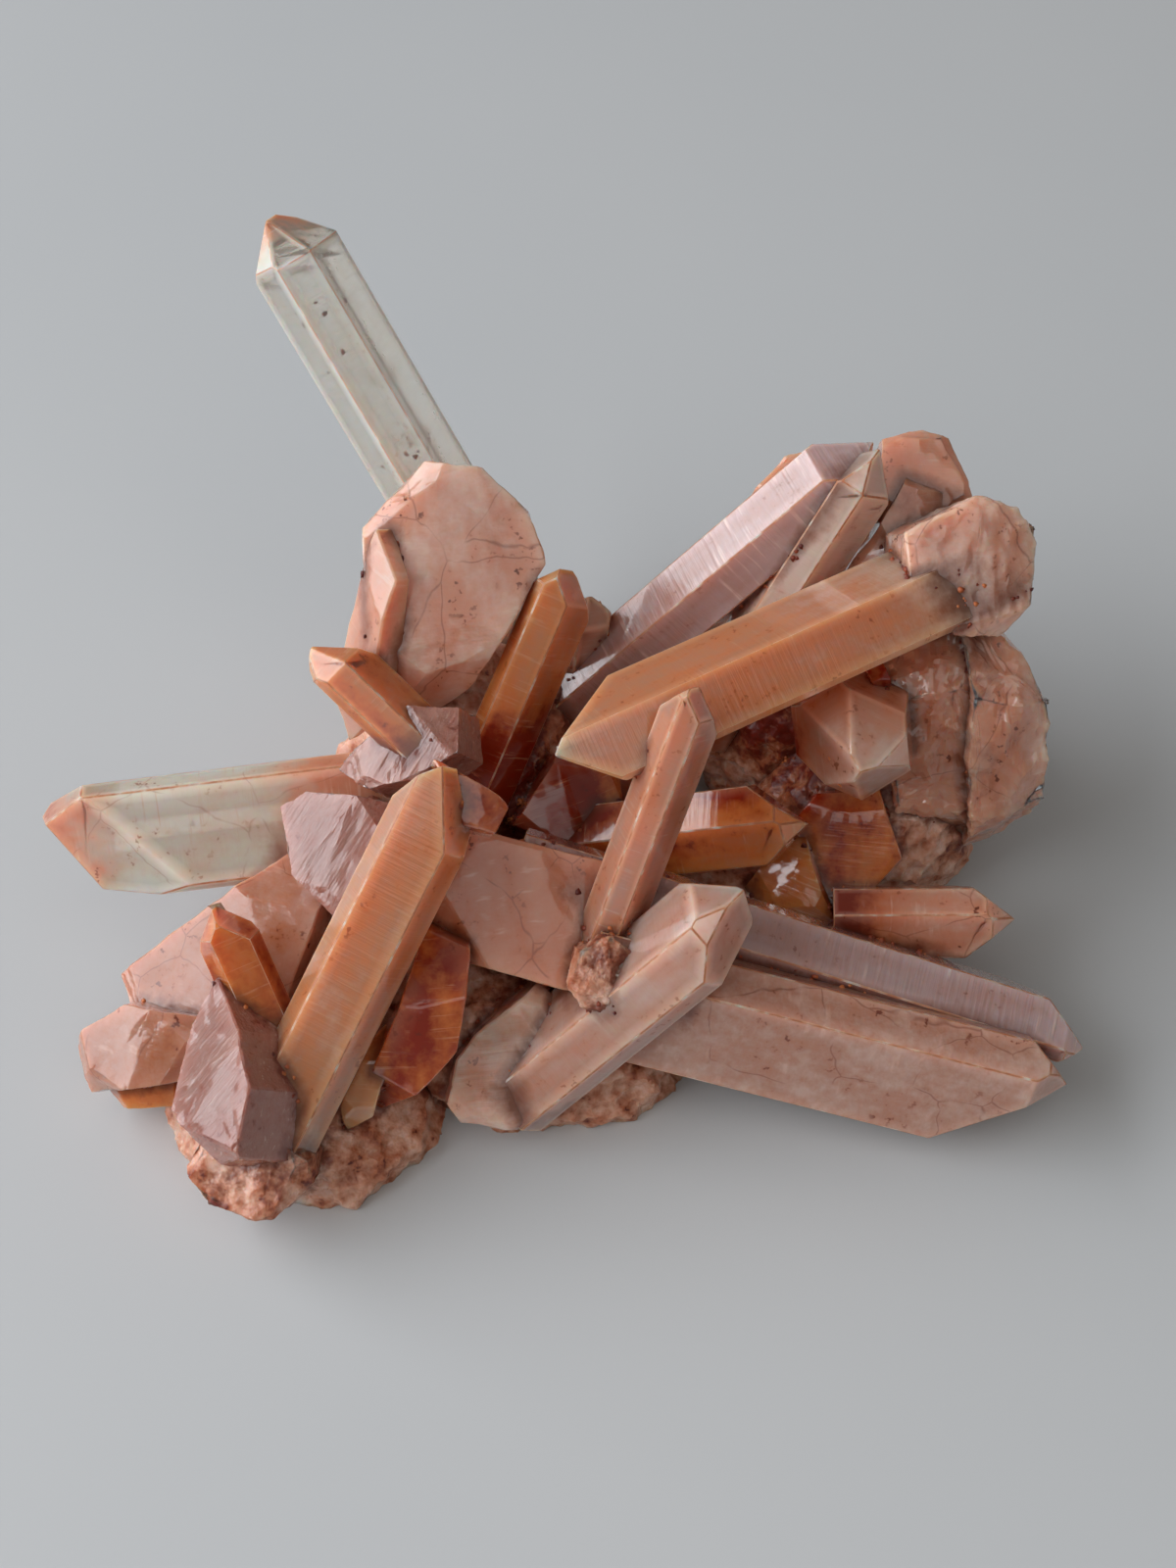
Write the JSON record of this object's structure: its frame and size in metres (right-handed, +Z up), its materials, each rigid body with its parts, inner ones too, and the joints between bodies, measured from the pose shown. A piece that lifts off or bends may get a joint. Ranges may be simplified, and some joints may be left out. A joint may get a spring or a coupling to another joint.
{
  "type": "mineral cluster",
  "caption": "Free-standing cluster of iron-stained hematoid quartz: long pointed six-sided crystals and broken slabs fanning out of a rough quartz base that is cut off flat underneath.",
  "frame": {"origin": "on the flat foot that the cluster stands on, under the middle of its bounding box", "axes": "+X to the right along the cluster's length, +Y to the back, where the tall clear spire leans, +Z up from the foot"},
  "size_m": [0.104, 0.0864, 0.0593],
  "materials": {
    "iron_stained_quartz": "vitreous natural crystal faces, clear to milky, stained pink, orange and rust brown by iron, with some rough broken faces"
  },
  "bodies": {
    "root": {"quartz_cluster": "iron_stained_quartz"}
  },
  "joints": []
}
